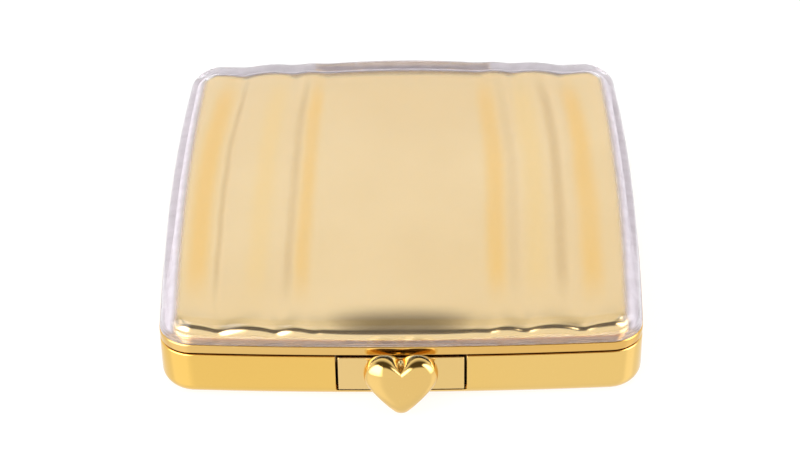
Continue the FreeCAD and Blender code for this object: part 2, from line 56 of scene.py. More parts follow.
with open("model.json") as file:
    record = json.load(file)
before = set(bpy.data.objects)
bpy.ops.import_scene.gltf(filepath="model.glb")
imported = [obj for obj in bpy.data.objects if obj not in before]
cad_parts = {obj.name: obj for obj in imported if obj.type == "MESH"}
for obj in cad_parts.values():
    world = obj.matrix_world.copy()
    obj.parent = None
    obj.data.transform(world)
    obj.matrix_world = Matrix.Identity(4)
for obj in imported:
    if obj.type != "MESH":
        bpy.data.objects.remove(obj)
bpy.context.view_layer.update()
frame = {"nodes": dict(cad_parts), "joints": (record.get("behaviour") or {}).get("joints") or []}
lid_joint, button_joint = frame["joints"]


# ---------------------------------------------------------------- settings
def srgb(red, green, blue):
    """Linear colour, with alpha, from 0 to 255 screen values."""
    def linear(value):
        value = value / 255
        return value / 12.92 if value <= 0.04045 else ((value + 0.055) / 1.055) ** 2.4
    return (linear(red), linear(green), linear(blue), 1.0)


def length(name, description, default):
    """A setting for a length, in metres."""
    return FloatProperty(name=name, description=description, default=default, unit="LENGTH")


def colour(name, description, *screen):
    """A setting for a colour, with its default in 0 to 255 screen values."""
    return FloatVectorProperty(
        name=name, description=description, default=srgb(*screen), size=4, min=0, max=1, subtype="COLOR")


class PillBoxSettings(bpy.types.PropertyGroup):
    """Sizes and colours that the frame doesn't hold. Lengths are in metres."""

    side_bulge: length("Side bulge", "How far the middle of a side stands out beyond its ends", 1.2 * MM)
    corner_radius: length("Corner radius", "Radius of the case's upright corners", 5.3 * MM)
    base_wall: length("Base wall", "Thickness of the base's wall", 1.4 * MM)
    base_floor: length("Base floor", "Thickness of the base's floor", 1.0 * MM)
    bottom_radius: length("Bottom radius", "Rounding of the base's bottom edge", 2.5 * MM)
    edge_radius: length("Seam edge", "Rounding of the two edges at the seam", 0.28 * MM)
    seam_gap: length("Seam gap", "Air between the base and the closed lid", 0.3 * MM)
    cover_thickness: length(
        "Cover thickness", "From the plateau's crown to the top of the cover", 2.0 * MM)
    heart_gap: length("Heart gap", "From the front wall to the back of the heart", 1.4 * MM)
    rim_height: length("Rim height", "Height of the lid's gold rim", 1.6 * MM)
    plateau_inset: length("Plateau inset", "From the case's outline to the plateau", 1.8 * MM)
    plateau_radius: length("Plateau edge", "Rounding of the plateau's top edge", 0.85 * MM)
    plateau_swell: FloatProperty(
        name="Plateau swell", description="Depth of the plateau's pleats as a multiple of the cover's",
        default=1.5)
    scoop_drop: length("Scoop drop", "How far the crown's front end slopes down", 1.25 * MM)
    scoop_reach: length("Scoop reach", "Length of that slope", 9.0 * MM)
    pleat_sag: FloatProperty(
        name="Pleat sag", description="Slope of the pleats' front ends, as a share of the scoop's",
        default=0.55)
    soft_crease: length("Soft crease", "Rounding of the creases on the plateau", 1.6 * MM)
    cover_crease: length("Cover crease", "Rounding of the creases on the cover's outside", 3.0 * MM)
    draw_in: FloatProperty(
        name="Draw-in", description="Share by which the lid's top narrows at its corners", default=0.014)
    corner_drop: length("Corner drop", "How far the lid's top falls at its corners", 0.35 * MM)
    lid_wall: length("Lid wall", "Thickness of the plateau's sides", 1.2 * MM)
    lid_top_wall: length("Lid top", "Thickness of the plateau's top at the crown", 1.4 * MM)
    cover_inset: length("Cover inset", "From the case's outline to the cover", 0.1 * MM)
    cover_gap: length("Cover gap", "Air between the cover and the plateau", 0.15 * MM)
    cover_radius: length("Cover edge", "Rounding of the cover's top edge", 1.7 * MM)
    crown_half: length("Crown half width", "From the middle to the first pleat", 13.5 * MM)
    crown_rise: length("Crown rise", "How far the crown swells above its feet", 0.4 * MM)
    pleat_widths: FloatVectorProperty(
        name="Pleat widths", description="Widths of the pleats, from the crown outwards",
        default=(5.3 * MM, 8.7 * MM, 11.0 * MM), size=3, unit="LENGTH")
    pleat_rise: FloatProperty(
        name="Pleat rise", description="Height of a pleat for each unit of its width", default=0.05)
    pleat_step: length("Pleat step", "Each pleat starts this much lower", 0.1 * MM)
    grid_step: length("Grid step", "Spacing of the points on the pleated surfaces", 0.5 * MM)
    joint_gap: length("Joint gap", "Air between the rim and the foot of the cover", 0.02 * MM)
    rim_radius: length("Rim edge", "Rounding of the rim's upper outer edge", 0.3 * MM)
    plate_bottom: length("Plate bottom", "Height of the button plate's lower edge", 1.9 * MM)
    window_gap: length("Window gap", "Gap round the button plate", 0.42 * MM)
    knuckle_radius: length("Knuckle radius", "Radius of the hinge knuckles", 1.499 * MM)
    knuckle_gap: length("Knuckle gap", "Clearance round and between knuckles", 0.25 * MM)
    lid_knuckle: length("Lid knuckle", "Length of the middle knuckle", 16.0 * MM)
    base_knuckle: length("Base knuckle", "Length of an outer knuckle", 7.0 * MM)
    lens: FloatProperty(name="Lens", description="Focal length on a 36 mm sensor", default=111.1)
    camera_distance: length("Camera distance", "From the camera to the middle of the seam", 400.3 * MM)
    camera_elevation: FloatProperty(
        name="Camera elevation", description="Angle at which the camera looks down",
        default=math.radians(36.3), unit="ROTATION")
    camera_turn: FloatProperty(
        name="Camera turn", description="Turn of the camera about the box", default=-0.015,
        unit="ROTATION")
    camera_roll: FloatProperty(
        name="Camera roll", description="Roll of the camera about its line of sight", default=-0.016,
        unit="ROTATION")
    spring_turns: FloatProperty(name="Spring turns", description="Turns of a button spring", default=5.5)
    spring_wire: length("Spring wire", "Diameter of the spring's wire", 0.3 * MM)

    # Painted light: each plating's left and right colours differ as its reflections do across the box, not
    # because the plating changes.
    base_gold: colour("Base gold", "Plating of the base at its left", 237, 194, 103)
    base_gold_painted_right: colour("Base gold, right", "Plating of the base at its right", 235, 197, 118)
    lid_gold: colour("Lid gold", "Plating of the lid's rim at its left", 228, 188, 114)
    lid_gold_painted_right: colour("Lid gold, right", "Plating of the lid's rim at its right", 227, 182, 102)
    heart_gold: colour("Heart gold", "Plating of the heart at its left", 233, 196, 120)
    heart_gold_painted_right: colour("Heart gold, right", "Plating of the heart at its right", 229, 190, 114)
    # Painted reflection: the back of the heart is paled so that the lid's rim, which reflects it, looks
    # less orange.
    heart_back_painted_reflection: colour("Heart back", "Thin plating on the back of the heart", 244, 232, 190)
    plate_gold: colour("Plate gold", "Plating of the plate at its left", 233, 199, 134)
    plate_gold_painted_right: colour("Plate gold, right", "Plating of the plate at its right", 230, 195, 124)
    plateau_light: colour("Plateau, light", "Lighter tone of the plating under the cover", 252, 226, 160)
    plateau_dark: colour("Plateau, dark", "Darker tone of the plating under the cover", 249, 220, 148)
    # Painted reflection and shade on the plateau: the orange and yellow bands stand in for reflections
    # along the pleats, the brown lines for shade in their creases.
    painted_orange_reflection: colour("Orange band", "Strongest bands along the pleats", 255, 211, 98)
    painted_yellow_reflection: colour("Yellow band", "Faint bands along the pleats", 255, 222, 132)
    painted_pleat_shade: colour("Brown band", "Thin shaded lines along the pleats", 230, 197, 122)
    clear_light: colour("Clear tint, light", "Lighter tint of the clear cover", 252, 250, 254)
    clear_dark: colour("Clear tint, dark", "Darker tint of the clear cover", 248, 246, 252)
    milk_light: colour("Milky tone, light", "Lighter tone of the cover's milky sides", 229, 222, 225)
    milk_dark: colour("Milky tone, dark", "Darker tone of the cover's milky sides", 214, 206, 209)
    frame_plastic: colour("Frame plastic", "Lighter tone of the inner frame and the liner", 226, 205, 160)
    frame_plastic_dark: colour("Frame plastic, dark", "Darker tone of the same pieces", 218, 196, 150)
    tray_plastic: colour("Tray plastic", "Lighter tone of the pill tray", 240, 233, 218)
    tray_plastic_dark: colour("Tray plastic, dark", "Darker tone of the pill tray", 233, 225, 208)
    catch_plastic: colour("Catch plastic", "Lighter tone of the latch catch", 236, 232, 222)
    catch_plastic_dark: colour("Catch plastic, dark", "Darker tone of the latch catch", 226, 222, 210)


def settings():
    """The scene's settings."""
    return bpy.context.scene.pill_box


# ---------------------------------------------------------------- plan of the case
class Plan:
    """The case's outline: four bowed sides and four corner arcs, and the curves parallel to it."""

    def __init__(self):
        s = settings()
        low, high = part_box("base_shell")
        self.half_width = high.x
        self.half_depth = -low.y
        self.corner = s.corner_radius
        self.right_radius = (self.half_depth ** 2 + s.side_bulge ** 2) / (2 * s.side_bulge)
        self.back_radius = (self.half_width ** 2 + s.side_bulge ** 2) / (2 * s.side_bulge)
        self.right_centre = Vector((self.half_width - self.right_radius, 0))
        self.back_centre = Vector((0, self.half_depth - self.back_radius))
        x = self.half_width - self.corner
        y = self.half_depth - self.corner
        for _ in range(12):
            x = self.right_centre.x + math.sqrt((self.right_radius - self.corner) ** 2 - y ** 2)
            y = self.back_centre.y + math.sqrt((self.back_radius - self.corner) ** 2 - x ** 2)
        self.corner_centre = Vector((x, y))
        self.back_turn = math.atan2(x, y - self.back_centre.y)
        self.right_turn = math.atan2(y, x - self.right_centre.x)
        self.knee = (self.back_turn + math.pi / 2 - self.right_turn) / 2
        self.back_reach = self.back_radius * self.back_turn + self.corner * (self.knee - self.back_turn)
        knee_from_right = math.pi / 2 - self.knee
        right_arc = self.corner * (knee_from_right - self.right_turn)
        self.right_reach = self.right_radius * self.right_turn + right_arc

    def side(self, along, inset, radius, turn, centre, rear):
        """Point on a bowed side or on its corner arc, by distance along it from the middle."""
        straight = radius * turn
        sign = math.copysign(1, along)
        if abs(along) <= straight:
            angle = along / radius
            reach = radius - inset
        else:
            angle = turn + (abs(along) - straight) / self.corner
            reach = self.corner - inset
            centre = self.corner_centre
        out = (math.sin(angle), math.cos(angle)) if rear else (math.cos(angle), math.sin(angle))
        point = centre + reach * Vector(out)
        if abs(along) <= straight:
            return point
        return Vector((sign * point.x, point.y)) if rear else Vector((point.x, sign * point.y))

    def back(self, along, inset):
        """Point on the rear side, by distance along it from the middle."""
        return self.side(along, inset, self.back_radius, self.back_turn, self.back_centre, True)

    def right(self, along, inset):
        """Point on the right side, by distance along it from the middle."""
        return self.side(along, inset, self.right_radius, self.right_turn, self.right_centre, False)

    def spread(self, reach, step):
        """Evenly spaced distances from -reach to reach, no further apart than step."""
        count = 2 * math.ceil(reach / step)
        return [reach * (2 * i / count - 1) for i in range(count + 1)]

    def columns(self, step):
        """Distances along the rear or front side, from knee to knee."""
        return self.spread(self.back_reach, step)

    def rows(self, step):
        """Distances along the right or left side, from knee to knee."""
        return self.spread(self.right_reach, step)

    def ring(self, inset, step):
        """Points round the outline, anticlockwise from above, with the distance along front and rear."""
        columns = self.columns(step)
        rows = self.rows(step)
        points = []
        for a in columns[:-1]:
            p = self.back(a, inset)
            points.append((Vector((p.x, -p.y)), a, -1))
        points += [(self.right(b, inset), columns[-1], b / rows[-1]) for b in rows[:-1]]
        points += [(self.back(a, inset), a, 1) for a in reversed(columns[1:])]
        for b in reversed(rows[1:]):
            p = self.right(b, inset)
            points.append((Vector((-p.x, p.y)), columns[0], b / rows[-1]))
        return points

    def patch(self, inset, step):
        """Grid of points inside the outline: its lines follow the bow of the four sides."""
        columns = self.columns(step)
        rows = self.rows(step)
        corner = self.back(columns[-1], inset)
        grid = []
        for b in rows:
            v = (b / rows[-1] + 1) / 2
            side = self.right(b, inset)
            line = []
            for a in columns:
                u = (a / columns[-1] + 1) / 2
                rear = self.back(a, inset)
                x = rear.x + (2 * u - 1) * (side.x - corner.x)
                y = (2 * v - 1) * rear.y + side.y - (2 * v - 1) * corner.y
                line.append((Vector((x, y)), a, b / rows[-1]))
            grid.append(line)
        return grid


def pleat_height(along):
    """Height of the pleated top below its crown, by distance from the middle. It is zero or less."""
    s = settings()
    a = abs(along)
    if a <= s.crown_half:
        return -s.crown_rise * (a / s.crown_half) ** 2
    foot = -s.crown_rise
    start = s.crown_half
    for width in s.pleat_widths:
        if a <= start + width:
            share = (a - start) / width
            middle = s.pleat_rise * width + s.pleat_step / 2
            return foot - s.pleat_step * share + middle * (1 - (2 * share - 1) ** 2)
        foot -= s.pleat_step
        start += width
    return foot


def soft_pleat(along, spread):
    """The pleats with their creases rounded over a width of spread."""
    steps = 6
    total = 0.0
    for number in range(-steps, steps + 1):
        total += pleat_height(along + spread * number / (2 * steps))
    return total / (2 * steps + 1)


def smooth_step(value):
    """0 up to 0, 1 from 1 on, and smooth between."""
    value = min(1.0, max(0.0, value))
    return value * value * (3 - 2 * value)


# ---------------------------------------------------------------- mesh helpers
class Skin:
    """Collects points and faces, and turns them into an object."""

    def __init__(self):
        self.points = []
        self.faces = []

    def add(self, points):
        """Adds points and returns their numbers."""
        first = len(self.points)
        self.points += [tuple(p) for p in points]
        return list(range(first, len(self.points)))

    def bridge(self, lower, upper):
        """Quads between two rings of equal length. With anticlockwise rings, they face outwards."""
        count = len(lower)
        for i in range(count):
            j = (i + 1) % count
            self.faces.append((lower[i], lower[j], upper[j], upper[i]))

    def sheet(self, grid, flip=False):
        """Quads over a grid of point numbers. They face up unless flipped."""
        for low, high in zip(grid, grid[1:]):
            for i in range(len(low) - 1):
                face = (low[i], low[i + 1], high[i + 1], high[i])
                self.faces.append(tuple(reversed(face)) if flip else face)

    def cap(self, ring, flip=False):
        """One face over a ring."""
        self.faces.append(tuple(reversed(ring)) if flip else tuple(ring))

    def build(self, name, sharp_angle=math.radians(35)):
        """Makes the object."""
        mesh = bpy.data.meshes.new(name)
        mesh.from_pydata(self.points, [], self.faces)
        mesh.validate()
        return shaded(name, mesh, sharp_angle)


def placed(name, data):
    """A new object in the scene."""
    item = bpy.data.objects.new(name, data)
    bpy.context.scene.collection.objects.link(item)
    return item


def shaded(name, mesh, sharp_angle=math.radians(35)):
    """A new object with smooth shading, apart from edges sharper than the angle."""
    for polygon in mesh.polygons:
        polygon.use_smooth = True
    mesh.set_sharp_from_angle(angle=sharp_angle)
    return placed(name, mesh)


def quarter_turn(inset, height, radius, start, end, steps=6):
    """Points (inset, height) on an arc about a centre, between two angles measured from outwards."""
    points = []
    for number in range(steps + 1):
        angle = math.radians(start + (end - start) * number / steps)
        points.append((inset - radius * math.cos(angle), height + radius * math.sin(angle)))
    return points


def add_profile(skin, plan, profile, step):
    """Adds one ring for each (inset, height), joined in order, and returns the first and last ring."""
    rings = []
    for inset, height in profile:
        rings.append(skin.add((p.x, p.y, height) for p, _, _ in plan.ring(inset, step)))
    for low, high in zip(rings, rings[1:]):
        skin.bridge(low, high)
    return rings[0], rings[-1]


def patch_border(grid):
    """Numbers round the edge of a grid, anticlockwise, in the order of Plan.ring."""
    border = list(grid[0][:-1])
    border += [line[-1] for line in grid[:-1]]
    border += list(reversed(grid[-1][1:]))
    border += [line[0] for line in reversed(grid[1:])]
    return border


def turned(profile, x0, x1, centre, sides=40):
    """Closed ring solid about an axis along X, from a closed profile of (share of length, radius)."""
    skin = Skin()
    rows = []
    for share, radius in profile:
        x = x0 + share * (x1 - x0)
        row = []
        for number in range(sides):
            angle = 2 * math.pi * number / sides
            row.append((x, centre.y + radius * math.cos(angle), centre.z + radius * math.sin(angle)))
        rows.append(skin.add(row))
    for low, high in zip(rows, rows[1:] + rows[:1]):
        skin.bridge(low, high)
    return skin


def knuckle(x0, x1, outer, bore, centre):
    """Hinge knuckle with rounded ends and a bore."""
    soft = 0.18 * MM
    edge = soft / (x1 - x0)
    profile = [(0, bore), (0, outer - soft), (edge * 0.3, outer - soft * 0.3), (edge, outer)]
    profile += [(1 - edge, outer), (1 - edge * 0.3, outer - soft * 0.3), (1, outer - soft), (1, bore)]
    return turned(profile, x0, x1, centre).build("knuckle")


def notch(x0, x1, centre):
    """Solid cylinder that clears a knuckle of the other half."""
    s = settings()
    radius = s.knuckle_radius + s.knuckle_gap
    axis = 0.01 * MM
    return turned([(0, axis), (0, radius), (1, radius), (1, axis)], x0, x1, centre).build("notch")


def rounded_box(name, low, high, radius):
    """Box with every edge rounded."""
    grid = bmesh.new()
    bmesh.ops.create_cube(grid, size=1)
    for vertex in grid.verts:
        vertex.co = Vector(h if c > 0 else l for c, l, h in zip(vertex.co, low, high))
    bmesh.ops.bevel(grid, geom=grid.edges[:], offset=radius, segments=3, profile=0.5, affect="EDGES")
    mesh = bpy.data.meshes.new(name)
    grid.to_mesh(mesh)
    grid.free()
    return shaded(name, mesh)


def cut_away(piece, cutter):
    """Cuts one mesh with another, and removes the cutter."""
    modifier = piece.modifiers.new("cut", "BOOLEAN")
    modifier.operation = "DIFFERENCE"
    modifier.solver = "EXACT"
    modifier.object = cutter
    bake(piece)
    bpy.data.objects.remove(cutter)


def bake(piece):
    """Replaces a piece's mesh by the result of its modifiers."""
    graph = bpy.context.evaluated_depsgraph_get()
    mesh = bpy.data.meshes.new_from_object(piece.evaluated_get(graph))
    piece.modifiers.clear()
    piece.data = mesh


def joined(name, pieces):
    """One object from several meshes."""
    merged = bmesh.new()
    for piece in pieces:
        merged.from_mesh(piece.data)
    mesh = bpy.data.meshes.new(name)
    merged.to_mesh(mesh)
    merged.free()
    for piece in pieces:
        bpy.data.objects.remove(piece)
    return shaded(name, mesh)


def dress(piece, material, body, nodes):
    """Gives a new piece its material, its body and the CAD nodes that it stands for."""
    piece.data.materials.clear()
    piece.data.materials.append(material)
    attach(piece, body)
    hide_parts(*nodes)
    return piece


# ---------------------------------------------------------------- shader helpers
class Value:
    """A node's output, with the arithmetic that materials need."""

    def __init__(self, shader, socket):
        self.shader = shader
        self.socket = socket

    def maths(self, operation, other, reverse=False):
        """One Math node, with the other value second or first."""
        first, second = (other, self) if reverse else (self, other)
        return self.shader.node("ShaderNodeMath", {0: first, 1: second}, operation=operation)

    def __add__(self, other):
        return self.maths("ADD", other)

    def __sub__(self, other):
        return self.maths("SUBTRACT", other)

    def __rsub__(self, other):
        return self.maths("SUBTRACT", other, reverse=True)

    def __mul__(self, other):
        return self.maths("MULTIPLY", other)

    __radd__ = __add__
    __rmul__ = __mul__

    def band(self, low, high):
        """0 below low, 1 above high, smooth between."""
        inputs = {0: self, 1: low, 2: high}
        return self.shader.node("ShaderNodeMapRange", inputs, interpolation_type="SMOOTHSTEP")


class Shader:
    """One material or world under construction."""

    def __init__(self, owner, output="ShaderNodeOutputMaterial"):
        owner.use_nodes = True
        self.owner = owner
        self.tree = owner.node_tree
        self.tree.nodes.clear()
        self.target = self.tree.nodes.new(output)

    def feed(self, socket, value):
        """Links a value to a socket, or sets it."""
        if isinstance(value, Value):
            self.tree.links.new(value.socket, socket)
        else:
            socket.default_value = value

    def node(self, kind, inputs=None, output=0, **choices):
        """Adds a node, fills its inputs by name or number, and returns one output."""
        node = self.tree.nodes.new(kind)
        for key, value in choices.items():
            setattr(node, key, value)
        for key, value in (inputs or {}).items():
            self.feed(node.inputs[key], value)
        return Value(self, node.outputs[output])

    def place(self):
        """Position in the object's own metres."""
        return self.node("ShaderNodeTexCoord", output="Object")

    def parts(self, vector):
        """The three numbers of a vector."""
        split = self.node("ShaderNodeSeparateXYZ", {0: vector}).socket.node
        return [Value(self, socket) for socket in split.outputs]

    def axes(self):
        """The three coordinates of a point, in metres."""
        return self.parts(self.place())

    def noise(self, scale, detail=3.0, roughness=0.5, stretch=(1, 1, 1)):
        """Noise over the object's own metres."""
        where = self.node("ShaderNodeMapping", {"Vector": self.place(), "Scale": stretch})
        inputs = {"Vector": where, "Scale": scale, "Detail": detail, "Roughness": roughness}
        return self.node("ShaderNodeTexNoise", inputs)

    def blend(self, share, first, second):
        """Mixes two colours."""
        return self.node("ShaderNodeMix", {0: share, 6: first, 7: second}, output=2, data_type="RGBA")

    def mix(self, share, first, second):
        """Mixes two surfaces or backgrounds."""
        return self.node("ShaderNodeMixShader", {0: share, 1: first, 2: second})

    def glow(self, strength, kind="ShaderNodeEmission"):
        """White light of an even strength."""
        return self.node(kind, {"Color": (1, 1, 1, 1), "Strength": strength})

    def ray(self, kind):
        """1 for rays of one kind, 0 for the others."""
        return self.node("ShaderNodeLightPath", output=kind)

    def bump(self, height, strength, distance, normal=None):
        """Normals of a small relief."""
        inputs = {"Height": height, "Strength": strength, "Distance": distance}
        if normal is not None:
            inputs["Normal"] = normal
        return self.node("ShaderNodeBump", inputs)

    def soft_edges(self, radius):
        """Normals that round the sharp edges of a construction solid."""
        return self.node("ShaderNodeBevel", {"Radius": radius}, samples=6)

    def principled(self, **inputs):
        """Adds a surface shader, with inputs named by their sockets."""
        named = {key.replace("_", " "): value for key, value in inputs.items()}
        return self.node("ShaderNodeBsdfPrincipled", named)

    def close(self, surface):
        """Links the last shader to the output and returns the material or world."""
        self.tree.links.new(surface.socket, self.target.inputs["Surface"])
        return self.owner

    def finish(self, **inputs):
        """One surface shader, linked to the output."""
        return self.close(self.principled(**inputs))


def material(name):
    """A shader on a new material."""
    return Shader(bpy.data.materials.new(name))


# ---------------------------------------------------------------- materials
def plating(name, colour, painted_right_tone, roughness=0.09, edge=0.2 * MM, rear=None):
    """Vacuum-metallised gold: bright metal with faint smudges, dust and orange peel.

    The colour drifts towards the second colour on the right: painted light, copying how the reflections
    change across the box. With rear, a place and a colour, the back takes that colour: a painted
    reflection, paled so that the lid's rim reflects it less orange.
    """
    m = material(name)
    x, y, _ = m.axes()
    # Painted light: the colour shifts from left to right as the reflections across the box do, along a
    # noisy edge.
    painted_light_drift = x + (m.noise(55, detail=4) - 0.5) * (30 * MM)
    tint = m.blend(painted_light_drift.band(-26 * MM, 26 * MM), colour, painted_right_tone)
    # Painted reflection: behind the given place the colour turns to the pale rear colour, so that the
    # lid's rim reflects that part less orange.
    if rear:
        tint = m.blend(y.band(rear[0], rear[0] + 0.8 * MM), tint, rear[1])
    smudge = m.noise(160, detail=5, roughness=0.6).band(0.45, 0.8)
    dust = m.noise(5200, detail=1).band(0.74, 0.8)
    peel = m.noise(900, detail=2)
    normal = m.bump(peel + dust * 0.6, 0.05, 0.02 * MM, m.soft_edges(edge))
    rough = smudge * 0.05 + dust * 0.25 + roughness
    return m.finish(Base_Color=tint, Metallic=1.0, Roughness=rough, Normal=normal)


def plateau_gold():
    """The plating under the clear cover: paler, with painted reflections in warm bands and painted shade
    in grey-brown lines along the pleats.
    """
    s = settings()
    m = material("plateau_gold")
    x, y, _ = m.axes()
    rear = y.maths("MAXIMUM", 0.0)
    bow_both = 0.03
    bow_rear = 0.07
    bow = 1.0 - (y * y * bow_both + rear * rear * bow_rear) * (1 / Plan().half_depth ** 2)
    across = x.maths("DIVIDE", bow) + (m.noise(60, detail=2) - 0.5) * (1.2 * MM)
    # The painted bands fade out towards the front and back, and their strength wanders along their length.
    ends = y.band(-32 * MM, -20 * MM) * (1.0 - y.band(24 * MM, 36 * MM))
    ends = ends * (m.noise(45, detail=2, stretch=(2, 0.5, 1)).band(0.25, 0.6) * 0.4 + 0.6)
    colour = m.blend(m.noise(30, detail=3).band(0.3, 0.75), s.plateau_light, s.plateau_dark)
    orange, yellow, brown = s.painted_orange_reflection, s.painted_yellow_reflection, s.painted_pleat_shade
    # Painted reflections (orange and yellow) and painted shade (brown) along the pleats. Middle and half
    # width in millimetres, colour, strength.
    bands = (
        (-31.8, 1.7, orange, 0.85), (-28.7, 0.5, brown, 0.7), (-22.3, 1.6, yellow, 0.6),
        (-17.5, 0.7, brown, 0.7), (-15.3, 1.2, orange, 0.85),
        (15.0, 1.5, orange, 0.85), (17.7, 0.9, brown, 0.35), (21.3, 1.7, yellow, 0.7),
        (25.1, 0.9, brown, 0.8), (29.8, 1.7, orange, 0.85),
    )
    for centre, half, tint, strength in bands:
        near = 1.0 - (across - centre * MM).maths("ABSOLUTE", 0.0).band(half * 0.2 * MM, half * 1.6 * MM)
        colour = m.blend(near * ends * strength, colour, tint)
    peel = m.noise(420, detail=2)
    normal = m.bump(peel, 0.04, 0.02 * MM)
    rough = m.noise(140, detail=4).band(0.4, 0.8) * 0.06 + 0.16
    return m.finish(Base_Color=colour, Metallic=1.0, Roughness=rough, Normal=normal)


def clear_plastic():
    """Clear acrylic with a breath of lavender and hairline scratches, milky where haze says.

    The body bends light less than real acrylic, so that its thick edges don't hide the plateau by total
    reflection. The coat has acrylic's own gloss.
    """
    s = settings()
    m = material("clear_plastic")
    scratch = m.noise(700, detail=3, stretch=(1, 14, 1)).band(0.68, 0.74)
    ripple = m.noise(130, detail=2)
    normal = m.bump(ripple + scratch * 0.15, 0.04, 0.03 * MM)
    tint = m.blend(m.noise(40, detail=1), s.clear_light, s.clear_dark)
    clear = m.principled(
        Base_Color=tint, Roughness=scratch * 0.04 + 0.01, Transmission_Weight=1.0, IOR=1.15, Normal=normal,
        Coat_Weight=1.0, Coat_IOR=1.49, Coat_Roughness=0.02)
    cloud = m.noise(500, detail=3).band(0.3, 0.75)
    milk = m.blend(cloud, s.milk_light, s.milk_dark)
    milky = m.principled(Base_Color=milk, Roughness=0.4, Normal=m.bump(cloud, 0.15, 0.03 * MM))
    haze = m.node("ShaderNodeAttribute", output="Fac", attribute_name="haze")
    return m.close(m.mix(haze * 0.95, clear, milky))


def moulded(name, light, dark, roughness, edge):
    """Moulded plastic with a fine spark-eroded grain and soft edges."""
    m = material(name)
    colour = m.blend(m.noise(70, detail=3).band(0.3, 0.75), light, dark)
    grain = m.noise(6500, detail=2)
    normal = m.bump(grain, 0.12, 0.02 * MM, m.soft_edges(edge))
    rough = m.noise(300, detail=3).band(0.3, 0.8) * 0.08 + roughness
    return m.finish(Base_Color=colour, Roughness=rough, Normal=normal, Specular_IOR_Level=0.3)


def metal(name, light, dark, roughness, edge, stretch=(1, 1, 1)):
    """Bright steel with drawn or turned marks."""
    m = material(name)
    marks = m.noise(2600, detail=3, stretch=stretch)
    colour = m.blend(marks.band(0.3, 0.8), light, dark)
    normal = m.bump(marks, 0.12, 0.01 * MM, m.soft_edges(edge))
    return m.finish(Base_Color=colour, Metallic=1.0, Roughness=marks * 0.1 + roughness, Normal=normal)


def mirror_glass():
    """Silvered glass with faint finger smears."""
    m = material("mirror_glass")
    smear = m.noise(90, detail=5, roughness=0.65).band(0.52, 0.85)
    colour = m.blend(smear, srgb(238, 240, 240), srgb(226, 229, 230))
    normal = m.soft_edges(0.25 * MM)
    return m.finish(
        Base_Color=colour, Metallic=1.0, Roughness=smear * 0.08 + 0.015, Normal=normal, Coat_Weight=1.0)


def foam():
    """Closed-cell foam tape."""
    m = material("foam_tape")
    cells = m.node("ShaderNodeTexVoronoi", {"Vector": m.place(), "Scale": 3500.0})
    colour = m.blend(cells, srgb(232, 230, 224), srgb(205, 202, 194))
    return m.finish(Base_Color=colour, Roughness=0.85, Normal=m.bump(cells, 0.5, 0.05 * MM))


def silicone():
    """Translucent silicone pad with a domed, slightly dusty face."""
    m = material("bumper_silicone")
    dust = m.noise(2400, detail=3).band(0.5, 0.8)
    colour = m.blend(dust, srgb(212, 211, 206), srgb(192, 190, 184))
    normal = m.bump(dust, 0.15, 0.02 * MM, m.soft_edges(0.3 * MM))
    return m.finish(
        Base_Color=colour, Roughness=dust * 0.2 + 0.35, Subsurface_Weight=0.4, Subsurface_Scale=0.6 * MM,
        Normal=normal)


# ---------------------------------------------------------------- camera and stage
def make_camera():
    """The camera, aimed at the middle of the seam with a small shift."""
    s = settings()
    data = bpy.data.cameras.new("camera")
    data.sensor_width = 36
    data.lens = s.lens
    data.clip_start = 10 * MM
    camera = placed("camera", data)
    up = Vector((0, math.sin(s.camera_elevation), math.cos(s.camera_elevation)))
    back = Vector((0, -math.cos(s.camera_elevation), math.sin(s.camera_elevation)))
    side = Vector((1, 0, 0))
    seam = Vector((0, 0, lid_joint["pos_m"][2]))
    shift_up = -2.86 * MM
    shift_side = -0.38 * MM
    place = seam + back * s.camera_distance + up * shift_up + side * shift_side
    axes = Matrix((side, up, back)).transposed().to_4x4()
    roll = Matrix.Rotation(s.camera_roll, 4, "Z")
    turn = Matrix.Rotation(-s.camera_turn, 4, "Z")
    camera.matrix_world = turn @ Matrix.Translation(place) @ axes @ roll
    bpy.context.scene.camera = camera
    bpy.context.scene.view_settings.view_transform = "Standard"


def plain_floor():
    """White table: nearly plain to the camera, where it keeps a faint shadow.

    Metal and glass see it white with a slight sheen, and matt surfaces see it dimmer.
    """
    sheen = 0.055
    shadow = 0.3
    m = material("floor_white")
    for_glass = m.glow(1.0)
    for_matt = m.glow(0.75)
    gloss = m.node("ShaderNodeBsdfGlossy", {"Color": (1, 1, 1, 1), "Roughness": 0.12})
    for_metal = m.mix(sheen, for_glass, gloss)
    paper = m.node("ShaderNodeBsdfDiffuse", {"Color": (1, 1, 1, 1)})
    for_camera = m.mix(shadow, m.glow(1.15), paper)
    surface = m.mix(m.ray("Is Glossy Ray"), for_matt, for_metal)
    surface = m.mix(m.ray("Is Transmission Ray"), surface, for_glass)
    return m.close(m.mix(m.ray("Is Camera Ray"), surface, for_camera))


def make_floor():
    """A large white floor just under the box."""
    skin = Skin()
    half = 2.0
    height = -0.02 * MM
    corners = ((-half, -half), (half, -half), (half, half), (-half, half))
    skin.cap(skin.add((x, y, height) for x, y in corners))
    floor = skin.build("floor")
    floor.data.materials.append(plain_floor())
    floor.visible_shadow = False


def window(azimuth, elevation, sides, heights, soft, fade):
    """1 inside a soft-edged rectangle of sky, given in degrees, with a long fade at its foot."""
    edge = math.radians(soft)
    foot = math.radians(fade)
    left, right = (math.radians(value) for value in sides)
    low, high = (math.radians(value) for value in heights)
    across = azimuth.band(left - edge, left + edge) * (1.0 - azimuth.band(right - edge, right + edge))
    up = elevation.band(low - foot, low + foot) * (1.0 - elevation.band(high - edge, high + edge))
    return across * up


